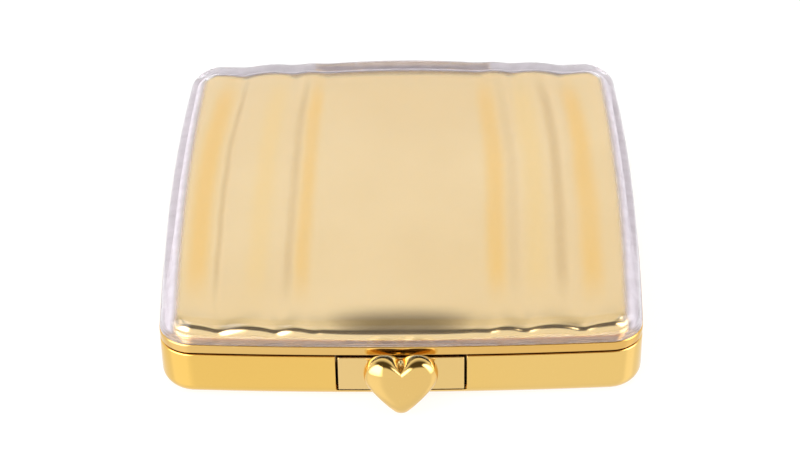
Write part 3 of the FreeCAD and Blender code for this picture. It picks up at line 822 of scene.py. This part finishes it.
def make_world():
    """A light tent: metal and glass see a dark gap overhead and a soft box on each side."""
    world = bpy.data.worlds.new("studio")
    bpy.context.scene.world = world
    w = Shader(world, "ShaderNodeOutputWorld")
    x, y, z = w.parts(w.node("ShaderNodeTexCoord", output="Generated"))
    tilt = z.maths("ARCTAN2", y)
    azimuth = x.maths("ARCTAN2", y * -1.0)
    elevation = w.node("ShaderNodeMath", {0: z}, operation="ARCSINE")
    gap = tilt.band(math.radians(46), math.radians(74))
    gap = gap * (1.0 - tilt.band(math.radians(112), math.radians(130)))
    gap = gap * (1.0 - x.maths("ABSOLUTE", 0.0).band(0.45, 0.8))
    left = window(azimuth, elevation, (-84, -22), (2, 62), 8, 24)
    right = window(azimuth, elevation, (62, 96), (8, 62), 8, 20)
    cloth = (1.0, 1.0, 1.0, 1.0)
    dark = (0.09, 0.075, 0.045, 1.0)
    bright = (4.5, 4.5, 4.6, 1.0)
    colour = w.blend(left.maths("MAXIMUM", right), w.blend(gap, cloth, dark), bright)
    tent = w.node("ShaderNodeBackground", {"Color": colour, "Strength": 1.0})
    for_matt = w.glow(0.72, "ShaderNodeBackground")
    for_camera = w.glow(1.0, "ShaderNodeBackground")
    surface = w.mix(w.ray("Is Diffuse Ray"), tent, for_matt)
    w.close(w.mix(w.ray("Is Camera Ray"), surface, for_camera))


def soft_box(name, centre, size, radiance):
    """Area light for matt surfaces, facing the box; metal and glass see the tent instead."""
    data = bpy.data.lights.new(name, "AREA")
    data.shape = "RECTANGLE"
    data.size, data.size_y = size
    data.energy = radiance * size[0] * size[1] * math.pi
    light = placed(name, data)
    aim = Vector(centre).to_track_quat("Z", "Y").to_matrix().to_4x4()
    light.matrix_world = Matrix.Translation(centre) @ aim
    light.visible_glossy = False
    light.visible_camera = False
    light.visible_transmission = False


def make_stage():
    """The floor, the world and the two lamps."""
    make_floor()
    make_world()
    soft_box("soft_box_left", (-0.45, -0.40, 0.45), (0.30, 0.40), 1.6)
    soft_box("soft_box_right", (0.50, -0.32, 0.42), (0.26, 0.36), 1.2)


# ---------------------------------------------------------------- pieces
def hinge():
    """The hinge axis and the places of its knuckles."""
    s = settings()
    centre = Vector(lid_joint["pos_m"])
    lid_end = s.lid_knuckle / 2
    base_start = lid_end + s.knuckle_gap
    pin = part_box("hinge_pin")
    return centre, lid_end, base_start, base_start + s.base_knuckle, (pin[1].z - pin[0].z) / 2


def base_shell():
    """Plated base: bowed walls, rounded bottom with a shallow recess, button window and knuckles."""
    s = settings()
    plan = Plan()
    centre, _, base_start, base_end, pin_radius = hinge()
    top = centre.z - s.seam_gap / 2
    r = s.edge_radius
    soft = 0.12 * MM
    inner = s.base_wall
    floor = s.base_floor
    foot = 4.4 * MM
    recess = 0.3 * MM
    ramp = 0.1 * MM
    fillet = 1.2 * MM
    chamfer = 0.35 * MM
    profile = [(foot + 4 * ramp, recess), (foot + ramp, recess), (foot, recess * 0.7), (foot - ramp, 0)]
    profile += quarter_turn(s.bottom_radius, s.bottom_radius, s.bottom_radius, -90, 0, 10)
    profile += quarter_turn(r, top - r, r, 0, 90, 4)
    profile += [(inner - soft, top), (inner - soft * 0.3, top - soft * 0.3), (inner, top - soft)]
    profile += [(inner, floor + fillet), (inner + chamfer, floor + chamfer), (inner + fillet, floor)]
    skin = Skin()
    first, last = add_profile(skin, plan, profile, 0.9 * MM)
    skin.cap(first, flip=True)
    skin.cap(last)
    shell = skin.build("base_gold_shell")
    button_low, button_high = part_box("push_button")
    gap = s.window_gap
    window_back = -plan.half_depth + 2.7 * MM
    beyond = 2 * MM
    low = (button_low.x - gap, -plan.half_depth - beyond, s.plate_bottom - gap)
    high = (button_high.x + gap, window_back, top + beyond)
    cut_away(shell, rounded_box("window", low, high, 0.35 * MM))
    cut_away(shell, notch(-base_start, base_start, centre))
    pieces = [shell]
    arm_inset = 0.1 * MM
    arm_root = plan.half_depth - 0.7 * MM
    rail_front = -plan.half_depth + 3.0 * MM
    for side in (-1, 1):
        x0, x1 = sorted((side * base_start, side * base_end))
        pieces.append(knuckle(x0, x1, s.knuckle_radius, pin_radius, centre))
        low = (x0 + arm_inset, arm_root, centre.z - s.knuckle_radius)
        high = (x1 - arm_inset, centre.y - pin_radius - arm_inset, top)
        pieces.append(rounded_box("arm", low, high, 0.12 * MM))
        x0, x1 = sorted((side * 7.0 * MM, side * 8.5 * MM))
        low = (x0, rail_front, floor - 0.3 * MM)
        high = (x1, -29.6 * MM, 2.3 * MM)
        pieces.append(rounded_box("rail", low, high, 0.15 * MM))
    shell = joined("base_gold_shell", pieces)
    gold = plating("gold_plating", s.base_gold, s.base_gold_painted_right)
    return dress(shell, gold, "base", ["base_shell"])


def crown_scoop(point, along, front):
    """Extra drop where the crown's front end slopes down towards the heart."""
    s = settings()
    half = 0.84 * s.crown_half
    steepness = 2.6
    across = 1 - (1 - s.pleat_sag) * min(1.0, abs(along) / half) ** 3
    near = min(1.0, max(0.0, 1 - (point.y - front) / s.scoop_reach))
    return -s.scoop_drop * across * near ** steepness


def pleated_top(plan, inset, crown_top, radius, scoop, spread, swell=1.0):
    """Grid of points of a pleated top, and the rings that round its edge down to the wall."""
    step = settings().grid_step
    front = -plan.half_depth + inset
    level = -settings().crown_rise

    def height(point, along):
        pleats = soft_pleat(along, spread)
        if abs(along) > settings().crown_half:
            pleats = level + (pleats - level) * swell
        return crown_top + pleats + scoop * crown_scoop(point, along, front)

    grid = [[(p.x, p.y, height(p, a)) for p, a, _ in line] for line in plan.patch(inset + radius, step)]
    rings = []
    steps = 7
    for number in range(1, steps + 1):
        angle = math.pi / 2 * number / steps
        drop = radius * (1 - math.cos(angle))
        edge = plan.ring(inset + radius, step)
        out = plan.ring(inset + radius * (1 - math.sin(angle)), step)
        rings.append([(q.x, q.y, height(q, a) - drop) for (_, a, _), (q, _, _) in zip(edge, out)])
    return grid, rings


def draw_in(piece, plan, foot, top):
    """Narrows the lid's top towards its corners and lets it fall there, more the higher a point is."""
    s = settings()
    for vertex in piece.data.vertices:
        p = vertex.co
        share = smooth_step((p.z - foot) / (top - foot))
        x = p.x / plan.half_width
        y = p.y / plan.half_depth
        p.z -= s.corner_drop * share * (x * y) ** 2
        p.x *= 1 - s.draw_in * share * y * y
        p.y *= 1 - s.draw_in * share * x * x


def add_top(skin, grid, rings, flip):
    """Adds a pleated top and its rounded edge, and returns the lowest ring."""
    numbers = [skin.add(line) for line in grid]
    skin.sheet(numbers, flip)
    last = patch_border(numbers)
    for ring in rings:
        lower = skin.add(ring)
        if flip:
            skin.bridge(last, lower)
        else:
            skin.bridge(lower, last)
        last = lower
    return last


def lid_shell():
    """Plated lid: a rounded rim, the pleated plateau, the cavity under it, and the middle knuckle."""
    s = settings()
    plan = Plan()
    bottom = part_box("lid_liner")[0].z - 0.2 * MM
    rim_top = bottom + s.rim_height - s.joint_gap
    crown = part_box("clear_cover")[1].z - s.cover_thickness
    ceiling = crown - s.lid_top_wall
    cavity = s.plateau_inset + s.lid_wall
    r = s.edge_radius
    soft = 0.1 * MM
    skin = Skin()
    profile = [(cavity, ceiling), (cavity, bottom + soft), (cavity - soft, bottom)]
    profile += quarter_turn(r, bottom + r, r, -90, 0, 4)
    profile += quarter_turn(s.rim_radius, rim_top - s.rim_radius, s.rim_radius, 0, 90, 4)
    profile += [(s.plateau_inset - soft, rim_top), (s.plateau_inset, rim_top + soft)]
    first, last = add_profile(skin, plan, profile, s.grid_step)
    skin.cap(first, flip=True)
    shape = (s.plateau_radius, 1.0, s.soft_crease, s.plateau_swell)
    grid, rings = pleated_top(plan, s.plateau_inset, crown, *shape)
    top = add_top(skin, grid, rings, flip=False)
    skin.bridge(last, top)
    lid = skin.build("lid_gold_shell")
    draw_in(lid, plan, rim_top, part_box("clear_cover")[1].z)
    centre, lid_end, _, base_end, pin_radius = hinge()
    for side in (-1, 1):
        x0, x1 = sorted((side * lid_end, side * (base_end + s.knuckle_gap)))
        cut_away(lid, notch(x0, x1, centre))
    arm_inset = 0.1 * MM
    low = (-lid_end + arm_inset, plan.half_depth - 0.7 * MM, bottom)
    high = (lid_end - arm_inset, centre.y - pin_radius - 0.15 * MM, centre.z + s.knuckle_radius)
    middle = knuckle(-lid_end, lid_end, s.knuckle_radius, pin_radius + 0.05 * MM, centre)
    lid = joined("lid_gold_shell", [lid, middle, rounded_box("arm", low, high, 0.12 * MM)])
    gold = plating("gold_plating_lid", s.lid_gold, s.lid_gold_painted_right)
    dress(lid, gold, "lid", ["lid_shell"])
    lid.data.materials.append(plateau_gold())
    for polygon in lid.data.polygons:
        inside = abs(polygon.center.x) < plan.half_width - s.plateau_inset * 0.9
        if polygon.center.z > rim_top + soft * 1.5 and inside:
            polygon.material_index = 1
    return lid


def clear_cover():
    """Clear cover with a pleated top, a stepped foot, and the hollow that fits the plateau."""
    s = settings()
    plan = Plan()
    low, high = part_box("clear_cover")
    crown_inside = high.z - s.cover_thickness + s.cover_gap
    inner = s.plateau_inset - s.cover_gap
    outer = s.cover_inset
    soft = 0.1 * MM
    foot = low.z
    profile = [(inner, foot + soft), (inner - soft, foot), (outer + soft, foot), (outer, foot + soft)]
    profile += [(outer, foot + 0.55 * MM), (outer + soft, foot + 0.65 * MM)]
    profile += [(outer + soft, foot + 1.0 * MM), (outer + 2 * soft, foot + 1.1 * MM)]
    skin = Skin()
    first, last = add_profile(skin, plan, profile, s.grid_step)
    grid, rings = pleated_top(plan, outer + 2 * soft, high.z, s.cover_radius, 0.4, s.cover_crease)
    skin.bridge(last, add_top(skin, grid, rings, flip=False))
    inside = len(skin.points)
    shape = (s.plateau_radius, 1.0, s.soft_crease, s.plateau_swell)
    grid, rings = pleated_top(plan, inner, crown_inside, *shape)
    skin.bridge(add_top(skin, grid, rings, flip=True), first)
    cover = skin.build("clear_pleated_cover")
    draw_in(cover, plan, foot, high.z)
    haze = cover.data.attributes.new("haze", "FLOAT", "POINT")
    for vertex in cover.data.vertices:
        p = vertex.co
        if vertex.index >= inside or p.z < foot + soft / 2 or vertex.index in first:
            haze.data[vertex.index].value = milkiness(plan, p, foot)
        else:
            rear = plan.half_depth - 2.2 * MM
            haze.data[vertex.index].value = 0.75 * smooth_step((p.y - rear) / (1.2 * MM))
    return dress(cover, clear_plastic(), "lid", ["clear_cover"])


def milkiness(plan, point, foot):
    """How milky the inner face is: all of it at the sides, the back and under the foot, none in front."""
    side = plan.right_centre.x + math.sqrt(plan.right_radius ** 2 - point.y ** 2) - abs(point.x)
    rear = plan.back_centre.y + math.sqrt(plan.back_radius ** 2 - point.x ** 2) - point.y
    wall = 1.9 * MM
    near_side = 1 - smooth_step((side - wall) / (1.5 * MM))
    near_rear = 1 - smooth_step((rear - wall) / (1.4 * MM))
    front = smooth_step((point.y + plan.half_depth - 2.5 * MM) / (3.0 * MM))
    under = 0.25 if point.z < foot + 0.15 * MM else 0.0
    return max(near_side * front, near_rear, under)


def capsule_distance(point, lobe, lobe_radius, tip, tip_radius):
    """Signed distance in the plane from a tapered bar with round ends."""
    run = tip - lobe
    length = run.length
    run = run / length
    rel = point - lobe
    along = rel.dot(run)
    across = abs(rel.x * run.y - rel.y * run.x)
    lean = (lobe_radius - tip_radius) / length
    rise = math.sqrt(1 - lean * lean)
    ahead = along * rise - across * lean
    if ahead < 0:
        return rel.length - lobe_radius
    if ahead > length * rise:
        return (point - tip).length - tip_radius
    return across * rise + along * lean - lobe_radius


def heart_reach(angle, centre, bar):
    """Distance from the heart's centre to its outline in one direction, found by halving.

    The outline is a tapered bar, given by its two ends and their radii, and its mirror image.
    """
    direction = Vector((math.cos(angle), math.sin(angle)))
    lobe = bar[0]
    mirrored = (Vector((-lobe.x, lobe.y)),) + bar[1:]
    near, far = 0.0, 12 * MM
    for _ in range(26):
        middle = (near + far) / 2
        point = centre + direction * middle
        if min(capsule_distance(point, *bar), capsule_distance(point, *mirrored)) < 0:
            near = middle
        else:
            far = middle
    return near


def rounded_reach(outline, spread):
    """The outline with its cleft filled in: a reach becomes its neighbours' mean where that is more."""
    count = len(outline)
    soft = list(outline)
    for _ in range(3):
        mean = [sum(soft[(i + k) % count] for k in range(-spread, spread + 1)) / (2 * spread + 1)
                for i in range(count)]
        soft = [max(now, average) for now, average in zip(soft, mean)]
    return soft


def heart_thumbpiece():
    """Puffy heart: one smooth swell with a cleft at the top, a flat back and a neck."""
    s = settings()
    low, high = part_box("heart_thumbpiece")
    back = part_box("base_shell")[0].y - s.heart_gap
    lobe_radius = 2.92 * MM
    tip_radius = 1.7 * MM
    lobe = Vector((high.x - lobe_radius, high.z - lobe_radius))
    tip = Vector((0, low.z + tip_radius))
    bar = (lobe, lobe_radius, tip, tip_radius)
    centre = Vector((0, low.z + 0.5 * (high.z - low.z)))
    equator = back - 1.15 * MM
    swell = equator - low.y
    around = 192
    rows = 36
    turns = [2 * math.pi * i / around for i in range(around)]
    outline = [heart_reach(angle, centre, bar) for angle in turns]
    plump = rounded_reach(outline, 15)

    def ring(share, y):
        points = []
        for i, angle in enumerate(turns):
            reach = plump[i] + (outline[i] - plump[i]) * share ** 4
            place = centre + Vector((math.cos(angle), math.sin(angle))) * reach * share
            points.append((place.x, y, place.y))
        return points

    skin = Skin()
    pole = skin.add([(centre.x, low.y, centre.y)])[0]
    previous = None
    for row in range(1, rows + 1):
        share = math.sin(math.pi / 2 * row / rows)
        bulge = (1 - share ** 2.7) ** (1 / 2.5)
        numbers = skin.add(ring(share, equator - swell * bulge))
        if previous is None:
            skin.faces += [(pole, numbers[i], numbers[(i + 1) % around]) for i in range(around)]
        else:
            skin.bridge(previous, numbers)
        previous = numbers
    for depth, share in ((0.4, 0.992), (0.75, 0.96), (0.95, 0.91), (1.0, 0.86)):
        numbers = skin.add(ring(share, equator + depth * (back - equator)))
        skin.bridge(previous, numbers)
        previous = numbers
    skin.cap(previous)
    heart = skin.build("heart_gold", math.radians(60))
    recalculate(heart)
    neck = neck_piece(4.7 * MM, back + 0.05 * MM, -Plan().half_depth, 1.9 * MM)
    heart = joined("heart_gold", [heart, neck])
    # Painted reflection: the heart's back is paled so that its reflection in the lid's rim looks less
    # orange.
    paled_back = (equator - 0.2 * MM, s.heart_back_painted_reflection)
    gold = plating("gold_plating_heart", s.heart_gold, s.heart_gold_painted_right, 0.07, rear=paled_back)
    return dress(heart, gold, "button", ["heart_thumbpiece"])


def neck_piece(height, front, rear, radius):
    """Short round neck between the heart and the plate, with a small flare at the plate."""
    sides = 40
    front = front - 0.4 * MM
    skin = Skin()
    rows = []
    for share, width in ((0.0, 1.0), (0.15, 0.94), (0.8, 0.94), (0.93, 0.99), (1.0, 1.0)):
        y = front + share * (rear - front)
        ring = []
        for i in range(sides):
            angle = 2 * math.pi * i / sides
            ring.append((radius * width * math.cos(angle), y, height + radius * width * math.sin(angle)))
        rows.append(skin.add(ring))
    for first, second in zip(rows, rows[1:]):
        skin.bridge(first, second)
    skin.cap(rows[0])
    skin.cap(rows[-1], flip=True)
    piece = skin.build("neck")
    recalculate(piece)
    return piece


def recalculate(piece):
    """Turns all faces outwards."""
    mesh = bmesh.new()
    mesh.from_mesh(piece.data)
    bmesh.ops.recalc_face_normals(mesh, faces=mesh.faces[:])
    mesh.to_mesh(piece.data)
    mesh.free()


# ---------------------------------------------------------------- springs
def spring_tree(steel):
    """Geometry Nodes tree of a coil spring along Z, with its sizes as inputs."""
    s = settings()
    tree = bpy.data.node_groups.new("coil_spring", "GeometryNodeTree")
    tree.interface.new_socket("Geometry", in_out="OUTPUT", socket_type="NodeSocketGeometry")
    sizes = {
        "Coil Radius": 1.05 * MM, "Wire Radius": s.spring_wire / 2, "Length": 3.2 * MM,
        "Turns": s.spring_turns,
    }
    for label, default in sizes.items():
        socket = tree.interface.new_socket(label, in_out="INPUT", socket_type="NodeSocketFloat")
        socket.default_value = default

    def node(kind, **inputs):
        """Adds a node, with inputs named by their sockets: a value, or an output to link."""
        made = tree.nodes.new(kind)
        for key, value in inputs.items():
            socket = made.inputs[key.replace("_", " ")]
            if isinstance(value, bpy.types.NodeSocket):
                tree.links.new(value, socket)
            else:
                socket.default_value = value
        return made.outputs[0] if made.outputs else None

    size = tree.nodes.new("NodeGroupInput").outputs
    spiral = node(
        "GeometryNodeCurveSpiral", Resolution=36, Rotations=size["Turns"], Height=size["Length"],
        Start_Radius=size["Coil Radius"], End_Radius=size["Coil Radius"])
    wire = node("GeometryNodeCurvePrimitiveCircle", Resolution=12, Radius=size["Wire Radius"])
    coil = node("GeometryNodeCurveToMesh", Curve=spiral, Profile_Curve=wire, Fill_Caps=True)
    coil = node("GeometryNodeSetShadeSmooth", Geometry=node("GeometryNodeRealizeInstances", Geometry=coil))
    node("NodeGroupOutput", Geometry=node("GeometryNodeSetMaterial", Geometry=coil, Material=steel))
    return tree


def button_springs():
    """The two coil springs behind the button. The real ones shorten a little more than it travels; these
    keep one length.
    """
    steel = metal("spring_steel", srgb(196, 194, 190), srgb(160, 158, 154), 0.2, 0.02 * MM)
    tree = spring_tree(steel)
    for node in ("button_spring_left", "button_spring_right"):
        low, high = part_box(node)
        coil = placed(node + "_coil", bpy.data.meshes.new(node + "_coil"))
        coil.modifiers.new("coil", "NODES").node_group = tree
        bake(coil)
        heights = [v.co.z for v in coil.data.vertices]
        coil.data.transform(Matrix.Translation((0, 0, -(min(heights) + max(heights)) / 2)))
        coil.data.transform(Matrix.Rotation(-math.pi / 2, 4, "X"))
        coil.data.transform(Matrix.Translation((low + high) / 2))
        dress(coil, steel, "base", [node])
        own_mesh(coil)


# ---------------------------------------------------------------- CAD pieces that keep their shape
def paint(finish, *nodes):
    """Gives CAD pieces a better material in every slot."""
    for node in nodes:
        mesh = frame["nodes"][node].data
        if not mesh.materials:
            mesh.materials.append(finish)
        for number in range(len(mesh.materials)):
            mesh.materials[number] = finish


def fittings():
    """Materials of the pieces whose construction solids are right as they are."""
    s = settings()
    champagne = moulded("inner_plastic", s.frame_plastic, s.frame_plastic_dark, 0.45, 0.15 * MM)
    ivory = moulded("tray_plastic", s.tray_plastic, s.tray_plastic_dark, 0.5, 0.2 * MM)
    acetal = moulded("catch_plastic", s.catch_plastic, s.catch_plastic_dark, 0.5, 0.12 * MM)
    steel = metal("bright_steel", srgb(205, 203, 198), srgb(168, 166, 162), 0.16, 0.08 * MM, (1, 12, 12))
    gold = plating("gold_plating_button", s.plate_gold, s.plate_gold_painted_right, 0.1, 0.3 * MM)
    paint(gold, "push_button")
    paint(champagne, "inner_frame", "lid_liner")
    paint(ivory, "pill_tray")
    paint(acetal, "latch_catch")
    paint(steel, "hinge_pin", "heart_screw")
    paint(mirror_glass(), "mirror")
    paint(foam(), "mirror_tape")
    paint(silicone(), "lid_bumpers")


# ---------------------------------------------------------------- operators
class PILLBOX_OT_camera(bpy.types.Operator):
    """Place the camera"""
    bl_idname = "pillbox.camera"
    bl_label = "Camera"
    bl_options = {"REGISTER", "UNDO"}

    def execute(self, context):
        make_camera()
        return {"FINISHED"}


class PILLBOX_OT_stage(bpy.types.Operator):
    """Build the floor, the world and the lights"""
    bl_idname = "pillbox.stage"
    bl_label = "Stage"
    bl_options = {"REGISTER", "UNDO"}

    def execute(self, context):
        make_stage()
        return {"FINISHED"}


class PILLBOX_OT_base(bpy.types.Operator):
    """Build the plated base"""
    bl_idname = "pillbox.base"
    bl_label = "Base"
    bl_options = {"REGISTER", "UNDO"}

    def execute(self, context):
        base_shell()
        return {"FINISHED"}


class PILLBOX_OT_lid(bpy.types.Operator):
    """Build the plated lid with its pleated plateau"""
    bl_idname = "pillbox.lid"
    bl_label = "Lid"
    bl_options = {"REGISTER", "UNDO"}

    def execute(self, context):
        lid_shell()
        return {"FINISHED"}


class PILLBOX_OT_cover(bpy.types.Operator):
    """Build the clear pleated cover"""
    bl_idname = "pillbox.cover"
    bl_label = "Clear cover"
    bl_options = {"REGISTER", "UNDO"}

    def execute(self, context):
        clear_cover()
        return {"FINISHED"}


class PILLBOX_OT_heart(bpy.types.Operator):
    """Build the puffy heart"""
    bl_idname = "pillbox.heart"
    bl_label = "Heart"
    bl_options = {"REGISTER", "UNDO"}

    def execute(self, context):
        heart_thumbpiece()
        return {"FINISHED"}


class PILLBOX_OT_springs(bpy.types.Operator):
    """Build the button's coil springs"""
    bl_idname = "pillbox.springs"
    bl_label = "Springs"
    bl_options = {"REGISTER", "UNDO"}

    def execute(self, context):
        button_springs()
        return {"FINISHED"}


class PILLBOX_OT_fittings(bpy.types.Operator):
    """Finish the pieces that keep their construction shape"""
    bl_idname = "pillbox.fittings"
    bl_label = "Fittings"
    bl_options = {"REGISTER", "UNDO"}

    def execute(self, context):
        fittings()
        return {"FINISHED"}


STEPS = (
    PILLBOX_OT_camera, PILLBOX_OT_stage, PILLBOX_OT_base, PILLBOX_OT_lid, PILLBOX_OT_cover,
    PILLBOX_OT_heart, PILLBOX_OT_springs, PILLBOX_OT_fittings,
)


class PILLBOX_PT_panel(bpy.types.Panel):
    """Sidebar panel with the settings and the steps."""

    bl_label = "Pill Box"
    bl_space_type = "VIEW_3D"
    bl_region_type = "UI"
    bl_category = "Pill Box"

    def draw(self, context):
        for name in PillBoxSettings.__annotations__:
            self.layout.prop(context.scene.pill_box, name)
        for step in STEPS:
            self.layout.operator(step.bl_idname)


CLASSES = (PillBoxSettings,) + STEPS + (PILLBOX_PT_panel,)


def register():
    """Registers the classes and the settings."""
    for item in CLASSES:
        bpy.utils.register_class(item)
    bpy.types.Scene.pill_box = PointerProperty(type=PillBoxSettings)


def unregister():
    """Removes them again."""
    del bpy.types.Scene.pill_box
    for item in reversed(CLASSES):
        bpy.utils.unregister_class(item)


def main():
    """Runs every step in order."""
    register()
    for step in STEPS:
        group, name = step.bl_idname.split(".")
        getattr(getattr(bpy.ops, group), name)()


if __name__ == "__main__":
    main()
